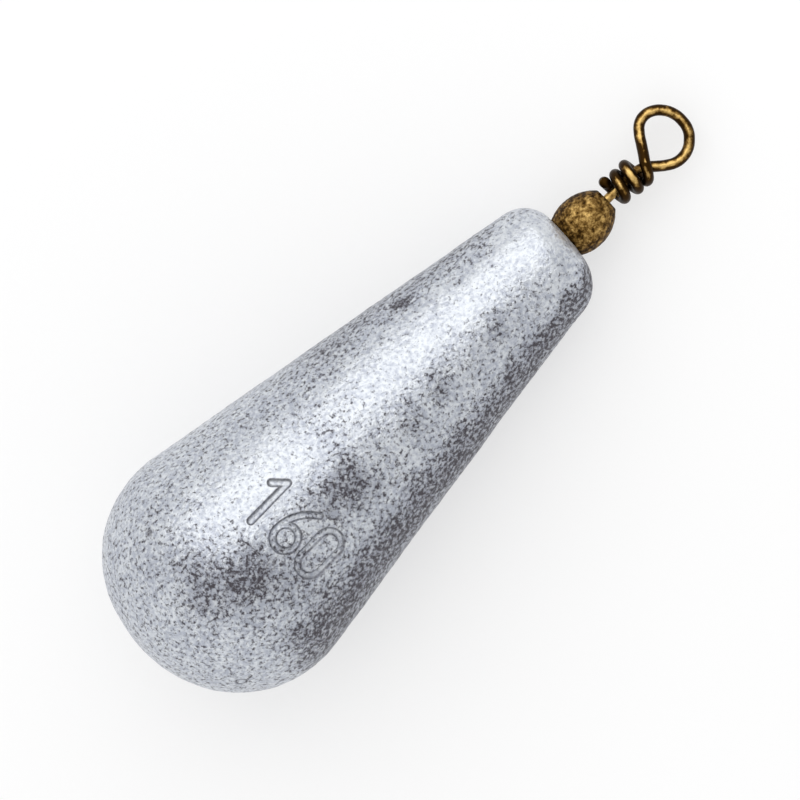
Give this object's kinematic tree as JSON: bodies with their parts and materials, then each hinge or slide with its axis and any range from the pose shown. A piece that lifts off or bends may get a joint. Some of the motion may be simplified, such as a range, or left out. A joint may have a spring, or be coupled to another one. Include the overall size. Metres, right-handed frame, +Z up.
{
  "type": "fishing sinker",
  "caption": "Pear-shaped cast lead sinker with a brass barrel swivel set in its narrow end, whose wire eye turns freely so the line doesn't twist.",
  "frame": {"origin": "below the middle of the part's box, on the level plane that the lead's straight side touches", "axes": "+X along the sinker towards the line eye, +Z up"},
  "size_m": [0.069, 0.024, 0.0241],
  "materials": {
    "lead": "cast lead, dull grey with fine grain and small pits",
    "barrel_brass": "aged brass with a pebbled skin",
    "wire_brass": "drawn brass wire, aged"
  },
  "bodies": {
    "sinker": {"lead_body": "lead", "swivel_barrel": "barrel_brass", "anchor_eye": "wire_brass"},
    "eye": {"line_eye": "wire_brass"}
  },
  "joints": [
    {"name": "eye_spin", "type": "hinge", "parent": "sinker", "child": "eye", "pos_m": [0.02397, 0, 0.00427], "axis": [0.9868, 0, -0.1621], "continuous": true}
  ]
}
